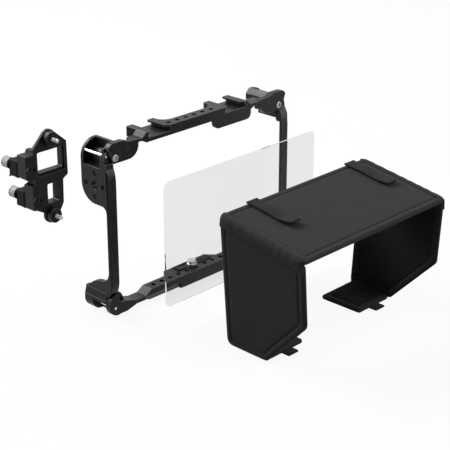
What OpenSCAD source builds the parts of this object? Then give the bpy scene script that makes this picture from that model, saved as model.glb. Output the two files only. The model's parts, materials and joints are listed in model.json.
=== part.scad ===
// Monitor cage kit: cage frame, cable clamp, screen protector and folding sun hood, in mm.
// The middle of the bottom bar's underside is the origin, +Y is the back and +Z is up.

/* [Cage] */
// Overall width across the side bars
cage_w = 162; // [156:1:190]
// Overall height to the top of the cold shoes
cage_h = 113.5; // [106:0.5:130]
// Depth of the corners from front to back
corner_d = 23.5; // [21:0.5:30]
// Depth of the top and bottom bars
bar_d = 9; // [8:0.5:11]
// Height of the top bar
top_bar_t = 6.5; // [6:0.1:8]
// Height of the bottom bar
bottom_bar_t = 8.2; // [7:0.1:10]
// Width of a side bar seen from the front
side_w = 6.2; // [5.4:0.1:7]
// Depth of a side bar
side_d = 3; // [2.6:0.1:4]
// How far the side bars stand in front of the lugs
side_step = 1.5; // [0.5:0.1:2.5]
// Edge chamfer of the side bars
side_chamfer = 0.9; // [0.4:0.1:1.4]

/* [Upper corners] */
// Thickness of the front lugs
lug_t = 3.8; // [3.4:0.1:5]
// Length of an upper lug
lug_w = 25.5; // [24:0.5:28]
// Height of an upper lug
lug_h = 13.2; // [12.5:0.1:15]
// Slanted outer end of an upper lug
lug_slant = 3.6; // [2.5:0.1:4.5]
// Outer radius of the strap corner
corner_r = 10.8; // [9.5:0.1:12]
// Wall of the strap corner
corner_wall = 7.2; // [6.8:0.1:8]
// Thickness of the side plates
plate_t = 3.4; // [3:0.1:4.2]
// Thickness of the floor of the strap pockets
pocket_floor = 1.6; // [1.2:0.1:2]
// How far the strap pockets reach over the top of the corners
pocket_reach = 11; // [9.5:0.5:12.5]
// How far the strap corners stand back from the front of the lugs
knuckle_back = 2.2; // [1.6:0.1:2.8]
// Radius of the bend at the top of the side bars
bend_r = 22; // [18:0.5:26]
// Radius of the bend at the foot of the side bars
ankle_r = 18; // [15:0.5:20]
// Width of the strap corner
corner_w = 16; // [15:0.5:18]
// Bevel on the inner end of the strap corners
corner_bevel = 3; // [2:0.1:4]
// How far the strap corner's top lies below the cage's top
corner_drop = 2; // [1:0.1:3]
// Height of the strap window
window_h = 12; // [9:0.5:13]
// Rim left in front of and behind the strap window
window_rim = 2.2; // [1.8:0.1:3]
// Diameter of the strap pins
pin_d = 1.8; // [1.5:0.1:1.9]

/* [Lower corners] */
// Radius of the barrel feet and round lugs
foot_r = 7.4; // [6.8:0.1:8]
// How far the barrel feet stand out past the side bars
foot_out = 1.4; // [1:0.1:1.8]
// Height of the flare above the barrel's axis
flare_h = 15; // [13:0.5:18]
// Concave radius where the flare meets the side bar
flare_r = 8; // [5:0.5:10]
// Rear round of the flare
flare_round = 15; // [12:0.5:16]
// Height of the strap pocket in a barrel
pocket_h = 8.4; // [7.6:0.1:9]
// Width of the strap pockets in the feet
pocket_w = 12.2; // [10:0.1:13.5]

/* [Accessory plate] */
// Distance of the plate's centre below the strap corner's top
plate_drop = 26.2; // [25:0.1:29]
// Distance of the plate's centre behind the lugs' front
plate_y = 11.4; // [11:0.1:13]
// How far the plate reaches below its centre
plate_reach = 12.3; // [11:0.1:15]
// Rear lower round of the plate
plate_round = 12; // [8:0.5:14]
// Bore of the quarter-inch thread
quarter_bore_d = 5.2; // [5:0.05:5.6]
// Height of the boss behind the quarter-inch hole
quarter_boss = 1.6; // [1:0.1:2.5]
// Countersink of the quarter-inch thread
quarter_sink_d = 6.4; // [6:0.1:7]
// Circle of the four locating holes
locate_circle_d = 15.1; // [13.5:0.1:16]
// Diameter of the locating holes
locate_d = 3.4; // [2.8:0.1:4]

/* [Top bar] */
// Middle of the left cold shoe
left_shoe_x = -37; // [-39:0.1:-36.8]
// Middle of the right cold shoe
right_shoe_x = 30.3; // [29:0.1:33]
// Width of the cold shoe's slot
shoe_slot_w = 18.6; // [18:0.1:19]
// Width of the opening between the lips
shoe_gap_w = 12.5; // [12:0.1:13.5]
// Height of the slot
shoe_slot_h = 2.2; // [2:0.05:2.4]
// Thickness of the lips
shoe_lip_t = 1.6; // [1.3:0.1:1.8]
// Wall beside the slot
shoe_wall = 2.1; // [1.6:0.1:2.6]
// Depth of a cold shoe
shoe_d = 18; // [16:0.5:20]
// Lead-in at the front of the lips
shoe_lead = 2.4; // [1:0.1:3]
// Round between the shoe blocks and the bar
wing_r = 7; // [4:0.5:8]
// Height of the thin necks at the bar's ends
neck_t = 3.6; // [3:0.1:4.2]
// Bore of the small threaded holes
small_bore_d = 3.3; // [3:0.05:3.6]
// Spacing of the small threaded holes
small_pitch = 7.45; // [6.8:0.05:7.6]
// First hole of the upper row
top_row_x = -25.2; // [-25.4:0.1:-23]
// Number of holes in the upper row
top_row_n = 6; // [4:1:6]
// Width of the hanging front stop
stop_w = 34; // [26:0.5:34]
// How far the front stop hangs below the bar
stop_h = 6.3; // [4:0.1:8]
// Thickness of the front stop
stop_t = 3; // [2:0.1:4]
// Corner round of the front stop
stop_r = 4; // [2:0.5:5]

/* [Bottom bar] */
// Half the length of the full-height middle
main_half = 46.5; // [45:0.5:48]
// Length of the ramps down to the necks
ramp_w = 5; // [4:0.1:6]
// Underside of the thin necks
low_neck_z = 2.4; // [1.8:0.1:3]
// Height of the thin necks
low_neck_t = 2.6; // [2.4:0.1:3.6]
// Depth of the rear wing behind the bar
wing_d = 5.5; // [5:0.1:7]
// Left end of the rear wing
wing_left = -22.6; // [-24:0.1:-22]
// Right end of the rear wing
wing_right = 15.5; // [15:0.1:18]
// Slant at the ends of the rear wing
wing_slant = 5; // [4:0.1:6]
// Half the length of the full front face
face_half = 21; // [19:0.5:24]
// Height of the lower front chamfer
chin_h = 4.6; // [3:0.1:5]
// Depth of the lower front chamfer
chin_d = 2.2; // [1.5:0.1:2.4]
// First hole of the left lower row
low_left_x = -41; // [-41.4:0.1:-40.8]
// Number of holes in the left lower row
low_left_n = 5; // [3:1:5]
// First hole of the right lower row
low_right_x = 5.4; // [5:0.1:6.5]
// Number of holes in the right lower row
low_right_n = 3; // [2:1:4]

/* [Retaining screw and pad] */
// Diameter of the retaining screw
screw_d = 6.35; // [6:0.05:6.5]
// Position of the retaining screw across the bar
screw_x = -3.6; // [-3.8:0.1:-3.4]
// Position of the retaining screw behind the bar's middle
screw_y = 3; // [2.8:0.1:3.4]
// Height of the screw above the bar
screw_up = 4.5; // [3.5:0.1:5]
// Diameter of the screw's waist below the thread
screw_waist_d = 5.2; // [4.8:0.1:5.6]
// Diameter of the screw's head
screw_head_d = 7.8; // [7.2:0.1:8]
// Height of the screw's head
screw_head_h = 3; // [2:0.1:4]
// Width of the coin slot in the head
screw_slot_w = 1.4; // [1:0.1:2]
// Outer diameter of the screw's clip
clip_d = 9; // [8.4:0.1:9.2]
// Thickness of the screw's clip
clip_t = 0.8; // [0.6:0.1:1]
// Thickness of the rubber pad
pad_t = 1.2; // [1:0.1:1.5]
// Depth of the pad's pocket
pad_sink = 0.5; // [0.3:0.1:0.6]

/* [Screws] */
// Diameter of the corner and clamp screws
m_d = 2.5; // [2:0.1:3]
// Head diameter of the corner and clamp screws
m_head_d = 4.5; // [4:0.1:4.8]
// Head height of the corner and clamp screws
m_head_h = 2.4; // [2:0.1:2.6]
// Hex socket of the screws, across the flats
m_hex = 2; // [1.5:0.1:2.5]
// Thread length of a corner screw below its head
m_len = 6.5; // [5:0.5:8]
// Diameter of the lug dowels
dowel_d = 2.2; // [1.6:0.1:2.6]

/* [Cable clamp] */
// Clamp screw line, sideways
clamp_x = -78.4; // [-84:0.1:-76]
// Front face of the clamp plate
clamp_y = 52.3; // [48:0.1:70]
// Height of the lower clamp screw
clamp_z = 52.9; // [48:0.1:56]
// Spacing of the clamp screws
clamp_pitch = 51.1; // [49:0.1:53]
// Thickness of the clamp plate
clamp_t = 6.4; // [6:0.1:8]
// Thickness of the clamp's lugs
clamp_lug_t = 2; // [1.8:0.1:2.6]
// Radius of the screw lugs
clamp_lug_r = 5.6; // [5.2:0.1:6.4]
// Boss radius at the screws
boss_r = 4.7; // [4:0.1:5.1]
// Boss height at the screws
boss_h = 3.8; // [3:0.1:4.5]
// How far a clamp screw stands out of its boss
stud_out = 6; // [5:0.1:9]
// Width of the large plug window
big_window_w = 19.5; // [18:0.1:20]
// Height of the large plug window
big_window_h = 14; // [12:0.1:15]
// Rim around the large plug window
big_rim = 1.6; // [1:0.1:2]
// Width of the small plug window
small_window_w = 8.8; // [7:0.1:9.5]
// Height of the small plug window
small_window_h = 13; // [11:0.1:14]
// Depth of the cable blocks
block_d = 8; // [7:0.1:10]

/* [Jaws and knobs] */
// Width of a jaw
jaw_w = 11.5; // [10.5:0.1:13]
// Height of a jaw
jaw_h = 11; // [10:0.1:12]
// Thickness of a jaw
jaw_t = 8.4; // [7:0.1:9]
// Gap between a block and its closed jaw
jaw_gap = 0.4; // [0.35:0.05:1]
// Depth of the jaw's ribs
rib_d = 0.7; // [0.4:0.1:1]
// Number of ribs on a jaw
rib_n = 9; // [5:1:10]
// Diameter of the thumb screw's stud
thumb_d = 3.2; // [2.8:0.1:3.4]
// Diameter of the knob
knob_d = 7.4; // [6.4:0.1:8.4]
// Length of the knob
knob_h = 6.4; // [5.5:0.1:9]
// Number of grip grooves around the knob
grip_n = 16; // [8:2:20]
// Diameter of the jaw dowels
jaw_pin_d = 2.2; // [1.8:0.1:2.4]

/* [Screen protector] */
// Width of the clear sheet
glass_w = 135.2; // [125:0.5:140]
// Height of the clear sheet
glass_h = 80.7; // [76:0.5:82]
// Thickness of the clear sheet
glass_t = 1.1; // [0.6:0.1:2]
// Corner radius of the clear sheet
glass_r = 4.2; // [2:0.1:8]
// Lower edge above the floor
glass_z = 14.3; // [14:0.1:16]
// Distance of the sheet in front of the lugs
glass_out = 34.6; // [30:0.5:38]

/* [Sun hood] */
// Middle of the hood, sideways
hood_x = 3; // [-5:0.5:5]
// Rear edge in front of the lugs
hood_out = 75.9; // [72:0.5:90]
// Width of the hood
hood_w = 132; // [124:1:140]
// Depth of the hood
hood_d = 64; // [58:1:70]
// Height of the rear edge
hood_h = 86; // [80:1:92]
// How far the top drops towards the front
hood_drop = 10.3; // [6:0.1:12]
// Height of the side panels' front lower corner
hood_front_z = 33.7; // [28:0.5:40]
// Depth of the side panels' foot
hood_foot = 32; // [28:0.5:36]
// Inward lean of the side panels
hood_lean = 4.5; // [3:0.1:6]
// Width of the floor flaps
flap_w = 29.4; // [26:0.1:32]
// Thickness of the cover cloth
cover_t = 0.8; // [0.6:0.1:1]
// Thickness of the stiffener board
board_t = 1.4; // [1:0.1:2]
// Thickness of the lining
lining_t = 0.8; // [0.6:0.1:1]
// Width of the hems
hem_w = 4; // [3:0.1:5]
// Gap at the folds
fold_gap = 0.35; // [0.3:0.05:0.5]

/* [Straps and tabs] */
// Width of a strap
strap_w = 9.4; // [8:0.1:11]
// Length of a strap
strap_len = 35; // [28:0.5:38]
// Thickness of a strap
strap_t = 1.4; // [1:0.1:2]
// Left strap's middle from the hood's left edge
left_strap_in = 26.6; // [12:0.1:36]
// Right strap's middle from the hood's right edge
right_strap_in = 15.6; // [12:0.1:26]
// Width of a flap tab
tab_w = 9; // [6:0.1:11]
// Length of a flap tab
tab_len = 5.5; // [4:0.1:8]
// Thickness of a flap tab
tab_t = 1.2; // [0.8:0.1:1.6]

/* [Hidden] */
$fn = 64;
// Clearance of a sliding or turning fit, on the radius
run_gap = 0.05;
// Clearance of fixed pins and screws, on the radius
fix_gap = 0.03;
// Clearance around a set-in part
seat_gap = 0.15;
// Extra reach of a cutting form
cut = 1;
half_w = cage_w / 2;
front_y = -bar_d / 2;
back_y = front_y + corner_d;
side_y = front_y - side_step;
lug_back_y = front_y + lug_t;
top_z = cage_h - top_bar_t;
neck_z = top_z + neck_t;
corner_top = cage_h - corner_drop;
head_z = corner_top - corner_r;
plate_z = corner_top - plate_drop;
plate_low = plate_z - plate_reach;
lug_z = cage_h - 0.3 - lug_h;
lug_x = half_w - 1 - lug_w;
lug_screw_x = half_w - 7.9;
lug_screw_z = lug_z + 3.3;
dowel_x = lug_x + 8.6;
dowel_z = top_z - 0.3;
block_w = shoe_slot_w + 2 * shoe_wall;
foot_x = half_w - foot_r + foot_out;
knuckle_y = front_y + knuckle_back;
side_back = side_y + side_d;
window_z = corner_top - 2.4 - window_h;
top_pin_x = half_w - 2.4;
top_pin_z = corner_top - 6.4;
low_pin_x = foot_x + 2.3;
low_pin_z = foot_r - 2.2;
pin_len = corner_d - lug_t - 0.4;
web_t = 3;
screw_cbore_d = screw_head_d + 0.6;
screw_cbore_h = screw_head_h + 0.8;
screw_flange_d = clip_d + 1.4;
stop_x = right_shoe_x - 19.1;
jaw_y = clamp_y + block_d + jaw_gap;
knob_y = jaw_y + jaw_t + 0.8;
// The clamp's outlines are drawn for a pitch of 48 and grow with it
clamp_unit = clamp_pitch / 51.1;
upper_knob = [-16.4, 34.3] * clamp_unit;
lower_knob = [-12.3, 13] * clamp_unit;
jaw_pin_x = thumb_d / 2 + jaw_pin_d / 2 + 1.55;
jaw_left = thumb_d / 2 + 0.8;
jaw_low = jaw_h * 0.66;
glass_y = front_y - glass_out - glass_t;
hood_y = front_y - hood_out;
panel_t = cover_t + board_t + lining_t;
slope = atan(hood_drop / hood_d);
top_len = hood_d / cos(slope);
side_gap_drop = (panel_t + fold_gap) / cos(slope);
inner_x = hood_w / 2 - panel_t;
lean_low = (hood_h - side_gap_drop) * tan(hood_lean);
flap_edge = inner_x - lean_low - fold_gap;
flap_y = hood_y - hood_foot + fold_gap;

function unit(v) = v / norm(v);

// Outline with every edge moved inwards by d
function inset(p, d) = let (n = len(p)) [for (i = [0:n - 1])
    let (a = unit(p[i] - p[(i + n - 1) % n]))
    let (b = unit(p[(i + 1) % n] - p[i]))
    let (u = [-a[1], a[0]], v = [-b[1], b[0]])
    p[i] + d * (u + v) / (1 + u * v)];

module along_y(y0, y1) {
    translate([0, y1, 0]) rotate([90, 0, 0]) linear_extrude(y1 - y0) children();
}

module along_x(x0, x1) {
    translate([x0, 0, 0]) rotate([90, 0, 90]) linear_extrude(x1 - x0) children();
}

module y_hole(x, z, d, y0, y1) {
    translate([x, y1, z]) rotate([90, 0, 0]) cylinder(d = d, h = y1 - y0);
}

// Rectangle with a round of its own at each corner: lower left, lower right, upper right, upper left
module cut_square(w, h, r) {
    difference() {
        square([w, h]);
        for (i = [0:3]) if (r[i] > 0) {
            translate([(i == 1 || i == 2) ? w : 0, (i > 1) ? h : 0]) rotate(90 * i) difference() {
                translate([-cut, -cut]) square([r[i] + cut, r[i] + cut]);
                translate([r[i], r[i]]) circle(r[i]);
            }
        }
    }
}

// Inside corner filler of radius r that rounds the corner at the origin
module fillet(r) {
    difference() {
        translate([-cut / 4, -cut / 4]) square([r + cut / 4, r + cut / 4]);
        translate([r, r]) circle(r);
    }
}

// Screw with a hex socket, head on the front and thread to +Y after a thinner waist
module small_screw(head_h, len, waist) {
    color([0.2, 0.2, 0.21]) difference() {
        rotate([-90, 0, 0]) union() {
            cylinder(d = m_head_d, h = head_h);
            if (waist > 0) cylinder(d = m_d - 0.4, h = head_h + waist + cut);
            translate([0, 0, head_h + waist]) cylinder(d = m_d, h = len - waist);
        }
        translate([0, -cut, 0]) rotate([-90, 0, 0]) cylinder(d = m_hex / cos(30), h = cut + 1.2, $fn = 6);
    }
}

// Upper lug seen from the front, on the right-hand side
module lug_shape() {
    difference() {
        translate([lug_x, lug_z]) cut_square(lug_w, lug_h, [8, 0, 6, 0]);
        lug_end();
        polygon([[lug_x - cut, neck_z + 0.3], [lug_x + 7.7, neck_z + 0.8], [lug_x + 13.6, cage_h],
                 [lug_x - cut, cage_h]]);
    }
}

// Place outside the slanted end of an upper lug, seen from the front
module lug_end() {
    polygon([[half_w + cut, lug_z - cut], [half_w - 2.4 - lug_slant, lug_z - cut],
             [half_w - 1.9, lug_z + lug_h - 2.5], [half_w - 1.9, cage_h + cut],
             [half_w + cut, cage_h + cut]]);
}

// Plan of one cold shoe block about its middle; the fillet goes to the side given
module shoe_plan(side) {
    translate([-block_w / 2, front_y]) square([block_w, shoe_d]);
    translate([side * block_w / 2, front_y + bar_d]) mirror([side > 0 ? 0 : 1, 0]) fillet(wing_r);
}

module shoe_cut() {
    slot_z = cage_h - shoe_lip_t - shoe_slot_h;
    translate([-shoe_slot_w / 2, front_y - cut, slot_z]) cube([shoe_slot_w, shoe_d + 2 * cut, shoe_slot_h]);
    translate([-shoe_gap_w / 2, front_y - cut, slot_z]) cube([shoe_gap_w, shoe_d + 2 * cut, top_bar_t]);
    for (s = [-1, 1]) translate([0, 0, slot_z + shoe_slot_h / 2]) linear_extrude(top_bar_t)
        polygon([[s * (shoe_gap_w / 2 - cut), front_y - cut],
                 [s * (shoe_gap_w / 2 + shoe_lead + cut), front_y - cut],
                 [s * (shoe_gap_w / 2 - cut), front_y + shoe_lead + cut]]);
}

module top_bar() {
    left_end = left_shoe_x - block_w / 2;
    right_end = right_shoe_x + block_w / 2;
    neck_low = top_z + neck_t / 2;
    color([0.16, 0.16, 0.17]) difference() {
        union() {
            translate([0, 0, top_z]) linear_extrude(top_bar_t) {
                translate([left_shoe_x, front_y]) square([right_shoe_x - left_shoe_x, bar_d]);
                translate([left_shoe_x, 0]) shoe_plan(1);
                translate([right_shoe_x, 0]) shoe_plan(-1);
            }
            along_y(front_y, front_y + bar_d) {
                polygon([[left_end + cut, cage_h], [left_end, cage_h],
                         [left_end - top_bar_t + neck_t, neck_z], [-lug_x - 2, neck_z],
                         [-lug_x - 2, neck_low], [left_end - 3, neck_low],
                         [left_end + 1, top_z], [left_shoe_x, top_z]]);
                polygon([[right_end - cut, cage_h], [right_shoe_x, top_z], [right_end + 4, top_z],
                         [right_end + 8, neck_low], [lug_x + 2, neck_low], [lug_x + 2, neck_z],
                         [right_end + top_bar_t - neck_t, neck_z], [right_end, cage_h]]);
            }
            along_y(front_y, lug_back_y) {
                lug_shape();
                mirror([1, 0]) lug_shape();
                translate([stop_x, top_z - stop_h])
                    cut_square(stop_w, stop_h + cut, [stop_r, stop_r, 0, 0]);
            }
        }
        for (x = [left_shoe_x, right_shoe_x]) translate([x, 0, 0]) shoe_cut();
        for (i = [0:top_row_n - 1]) translate([top_row_x + i * small_pitch, 0, top_z - cut])
            cylinder(d = small_bore_d, h = top_bar_t + 2 * cut);
        for (s = [-1, 1]) {
            y_hole(s * lug_screw_x, lug_screw_z, m_head_d + 0.3, front_y - cut, front_y + m_head_h);
            y_hole(s * lug_screw_x, lug_screw_z, m_d + 2 * fix_gap, front_y, lug_back_y + cut);
            y_hole(s * dowel_x, dowel_z, dowel_d + 2 * fix_gap, front_y - cut, lug_back_y + cut);
        }
        translate([stop_x - cut, front_y + stop_t, top_z - stop_h - cut])
            cube([stop_w + 2 * cut, lug_t, stop_h + cut]);
    }
}

module bottom_bar() {
    low = bottom_bar_t;
    neck_top = low_neck_z + low_neck_t;
    neck_end = foot_x - foot_r - 0.2;
    flare_x = neck_end - 8;
    color([0.17, 0.17, 0.18]) difference() {
        union() {
            along_y(front_y, front_y + bar_d)
                polygon([[-neck_end, 0.3], [-flare_x, low_neck_z], [-main_half - ramp_w, low_neck_z],
                         [-main_half, 0], [main_half, 0], [main_half + ramp_w, low_neck_z],
                         [flare_x, low_neck_z], [neck_end, 0.3], [neck_end, foot_r], [flare_x, neck_top],
                         [main_half + ramp_w, neck_top], [main_half, low], [-main_half, low],
                         [-main_half - ramp_w, neck_top], [-flare_x, neck_top], [-neck_end, foot_r]]);
            linear_extrude(low) polygon([[wing_left - wing_slant, 0], [wing_right + wing_slant, 0],
                [wing_right + wing_slant, front_y + bar_d], [wing_right, front_y + bar_d + wing_d],
                [wing_left, front_y + bar_d + wing_d], [wing_left - wing_slant, front_y + bar_d]]);
            along_y(front_y, lug_back_y) for (s = [-1, 1]) {
                translate([s * foot_x, foot_r]) circle(foot_r);
                polygon([[s * (neck_end - cut), 0.6], [s * neck_end, 0.3], [s * foot_x, 0.3],
                         [s * foot_x, foot_r], [s * neck_end, foot_r], [s * (neck_end - cut), foot_r - 0.4]]);
            }
        }
        for (s = [-1, 1]) {
            translate([s > 0 ? face_half : -main_half - ramp_w, 0, 0])
                along_x(0, main_half + ramp_w - face_half)
                    polygon([[front_y - cut, -cut], [front_y + chin_d, -cut], [front_y + chin_d, 0],
                             [front_y, chin_h], [front_y - cut, chin_h]]);
            y_hole(s * low_pin_x, low_pin_z, pin_d + 2 * fix_gap, front_y - cut, lug_back_y + cut);
            along_y(front_y - cut, lug_back_y + cut)
                polygon([[s * (foot_x + 0.5), 2 * foot_r + cut], [s * (foot_x + 0.5), 2 * foot_r - 0.6],
                         [s * (foot_x - 2.6), foot_r + 0.9], [s * (foot_x - 5), foot_r + 0.1],
                         [s * neck_end, foot_r + 0.1], [s * neck_end, 2 * foot_r + cut]]);
        }
        for (i = [0:low_left_n - 1]) translate([low_left_x + i * small_pitch, 0, -cut])
            cylinder(d = small_bore_d, h = low + 2 * cut);
        for (i = [0:low_right_n - 1]) translate([low_right_x + i * small_pitch, 0, -cut])
            cylinder(d = small_bore_d, h = low + 2 * cut);
        translate([screw_x, screw_y, -cut]) cylinder(d = screw_waist_d + 2 * run_gap, h = low + 2 * cut);
        translate([screw_x, screw_y, -cut]) cylinder(d = screw_cbore_d, h = screw_cbore_h + cut);
        translate([0, 0, low - pad_sink]) linear_extrude(pad_sink + cut) pad_plan(0);
    }
}

module pad_plan(gap) {
    pad_w = wing_right - wing_left - 8;
    difference() {
        translate([wing_left + 7 + gap, small_bore_d / 2 + 0.7 + gap])
            cut_square(pad_w - 2 * gap, front_y + bar_d + wing_d - small_bore_d / 2 - 1.3 - 2 * gap,
                [1, 1, 1, 1]);
        translate([screw_x, screw_y]) circle(d = screw_flange_d + 2 * gap);
    }
}

module bottom_pad() {
    color([0.08, 0.08, 0.08]) translate([0, 0, bottom_bar_t - pad_sink])
        linear_extrude(pad_t) pad_plan(seat_gap);
}

// Outline of a side bar seen from the side, front to the left
module side_outline(plate) {
    hip = foot_r + flare_h;
    bend_z = head_z - sqrt(pow(bend_r, 2) - pow(bend_r - knuckle_y + side_y, 2));
    ankle_z = foot_r + 16.6;
    difference() {
        polygon([[side_y, foot_r + 3], [side_y, head_z], [back_y, head_z], [back_y, head_z - 9],
                 [side_back + 3, head_z - 9], [side_back, head_z - 15], [side_back, hip],
                 [lug_back_y + 2, hip - cut], [lug_back_y + 2, foot_r + 3]]);
        difference() {
            translate([side_y - cut, bend_z]) square([knuckle_y - side_y + cut, head_z - bend_z + cut]);
            translate([side_y + bend_r, bend_z]) circle(bend_r);
        }
        difference() {
            translate([side_y - cut, foot_r]) square([lug_back_y - side_y + cut, ankle_z - foot_r]);
            translate([side_y + ankle_r, ankle_z]) circle(ankle_r);
        }
    }
    translate([lug_back_y, foot_r]) cut_square(corner_d - lug_t, flare_h, [0, 0, flare_round, 0]);
    translate([side_back, hip]) fillet(flare_r);
    if (plate) {
        translate([side_back - cut, plate_low]) cut_square(back_y - side_back + cut, head_z - plate_low,
            [0, plate_round, 0, 0]);
        translate([side_back, plate_low]) mirror([0, 1]) fillet(4);
    }
}

// Strap corner seen from the front: a thick rounded corner, open inside
module corner_shape() {
    low = window_z - pocket_floor;
    difference() {
        translate([half_w - corner_w, low]) cut_square(corner_w, corner_top - low, [0, 0, corner_r, 0]);
        translate([half_w - corner_w - cut, low - cut])
            cut_square(corner_w - corner_wall + cut, corner_top - corner_wall - low + cut,
                [0, 0, corner_r - corner_wall, 0]);
    }
}

// Strap pocket seen from the front; it follows the corner from the side to the top
module pocket_shape() {
    deep = corner_wall - pocket_floor;
    difference() {
        translate([half_w - pocket_reach, window_z])
            square([pocket_reach + cut, corner_top - window_z + cut]);
        translate([half_w - corner_w, window_z - cut])
            cut_square(corner_w - deep, corner_top - deep - window_z + cut, [0, 0, corner_r - deep, 0]);
    }
}

// Barrel foot seen from the front, with a stepped shoulder up to the side plate
module barrel_shape() {
    out = foot_x + foot_r - 0.1;
    translate([foot_x, foot_r]) circle(foot_r);
    polygon([[half_w - plate_t, foot_r - 0.6], [out, foot_r - 0.6], [out, foot_r + 3],
             [out - 0.4, foot_r + 3.6], [out - 0.4, foot_r + 4.6], [half_w + 0.2, foot_r + 6.8],
             [half_w + 0.2, foot_r + 7.8], [half_w - 0.4, foot_r + 8.6], [half_w - plate_t, foot_r + 8.6]]);
}

module side_bar(plate) {
    color([0.17, 0.17, 0.18]) difference() {
        union() {
            intersection() {
                along_x(half_w - side_w, half_w) side_outline(plate);
                union() {
                    translate([half_w - side_w, side_y - cut, 0]) cube([side_w, side_d + cut, cage_h]);
                    translate([half_w - plate_t, side_y - cut, 0])
                        cube([plate_t, corner_d + 4 * cut, cage_h]);
                    translate([half_w - side_w, side_y - cut, 0])
                        cube([side_w, lug_back_y - side_y + 2 * cut, 2 * foot_r + 8]);
                    translate([half_w - side_w, side_y - cut, head_z - 10])
                        cube([side_w, lug_back_y - side_y + 2 * cut, 10]);
                }
            }
            along_y(lug_back_y, back_y) {
                corner_shape();
                barrel_shape();
            }
            along_y(knuckle_y, lug_back_y + cut) intersection() {
                translate([0.2, 0]) lug_end();
                translate([half_w - corner_w, head_z]) cut_square(corner_w, corner_r, [0, 0, corner_r, 0]);
            }
            along_y(lug_back_y, lug_back_y + web_t)
                translate([lug_screw_x - 4.5, lug_z + 0.2])
                    cut_square(half_w - lug_screw_x + 2.8, corner_top - lug_z - 2, [2.5, 0, 0, 0]);
            y_hole(lug_screw_x, lug_screw_z, 5.8, lug_back_y, lug_back_y + m_len);
            if (plate) translate([half_w - plate_t - quarter_boss, front_y + plate_y, plate_z])
                rotate([0, 90, 0]) cylinder(d = quarter_bore_d + 5, h = quarter_boss + cut);
        }
        translate([half_w, side_y, -cut]) rotate(45)
            translate([-side_chamfer / sqrt(2), -side_chamfer, 0])
                cube([2 * side_chamfer, 2 * side_chamfer, cage_h]);
        along_y(side_y - cut, lug_back_y) {
            difference() {
                translate([lug_x, lug_z - 0.2]) square([half_w - lug_x + cut, corner_top - lug_z + cut]);
                translate([0.2, 0]) lug_end();
            }
            translate([foot_x, foot_r]) circle(foot_r + 0.2);
        }
        along_y(lug_back_y + window_rim, back_y - window_rim) pocket_shape();
        translate([low_pin_x - 3.2, lug_back_y - cut, -cut])
            cube([foot_r + 2, pocket_w + cut, pocket_h + cut]);
        y_hole(top_pin_x, top_pin_z, pin_d + 2 * fix_gap, knuckle_y - cut, lug_back_y + pin_len);
        y_hole(low_pin_x, low_pin_z, pin_d + 2 * fix_gap, lug_back_y - cut, lug_back_y + pin_len);
        y_hole(lug_screw_x, lug_screw_z, m_d + 2 * fix_gap, lug_back_y - cut, lug_back_y + m_len + cut);
        along_y(front_y - cut, back_y + cut) translate([half_w - corner_w, corner_top])
            polygon([[-cut, cut], [-cut, -corner_bevel - cut], [0, -corner_bevel], [corner_bevel, 0],
                     [corner_bevel + cut, cut]]);
        if (plate) translate([half_w, front_y + plate_y, plate_z]) rotate([0, -90, 0]) {
            translate([0, 0, -cut]) cylinder(d = quarter_bore_d, h = plate_t + quarter_boss + 2 * cut);
            translate([0, 0, -0.01]) cylinder(d1 = quarter_sink_d, d2 = quarter_bore_d, h = 0.6);
            for (i = [0:3]) rotate(90 * i) translate([locate_circle_d / 2, 0, -cut])
                cylinder(d = locate_d, h = plate_t + 2 * cut);
        }
    }
}

module left_side_bar() {
    mirror([1, 0, 0]) side_bar(true);
}

module right_side_bar() {
    side_bar(false);
}

module strap_pins() {
    color([0.85, 0.85, 0.86]) for (s = [-1, 1]) {
        y_hole(s * top_pin_x, top_pin_z, pin_d, knuckle_y + 0.15, lug_back_y + pin_len);
        y_hole(s * low_pin_x, low_pin_z, pin_d, front_y + 0.15, lug_back_y + pin_len);
    }
}

module corner_screws() {
    for (s = [-1, 1]) translate([s * lug_screw_x, front_y, lug_screw_z]) small_screw(m_head_h, m_len, 0);
}

module lug_dowels() {
    color([0.5, 0.5, 0.52]) for (s = [-1, 1])
        y_hole(s * dowel_x, dowel_z, dowel_d, front_y + 0.3, lug_back_y);
}

module retaining_screw() {
    head_z = screw_cbore_h - 0.4 - screw_head_h;
    thread_z = bottom_bar_t + clip_t + 0.3;
    thread_len = screw_up - clip_t - 0.3;
    color([0.75, 0.75, 0.77]) translate([screw_x, screw_y, head_z]) difference() {
        union() {
            cylinder(d = screw_head_d, h = screw_head_h);
            cylinder(d = screw_waist_d, h = thread_z - head_z + cut);
            translate([0, 0, thread_z - head_z]) {
                cylinder(d = screw_d, h = thread_len - 0.6);
                translate([0, 0, thread_len - 0.6]) cylinder(d1 = screw_d, d2 = screw_d - 1.2, h = 0.6);
            }
        }
        translate([-screw_head_d, -screw_slot_w / 2, -cut]) cube([2 * screw_head_d, screw_slot_w, cut + 1.4]);
    }
}

module screw_clip() {
    color([0.12, 0.12, 0.12]) translate([screw_x, screw_y, bottom_bar_t]) difference() {
        cylinder(d = clip_d, h = clip_t);
        translate([0, 0, -cut]) cylinder(d = screw_waist_d + 4 * run_gap, h = clip_t + 2 * cut);
    }
}

// The clamp's own place: its lower screw on the plate's front face
module at_clamp() {
    translate([clamp_x, clamp_y, clamp_z]) children();
}

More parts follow.
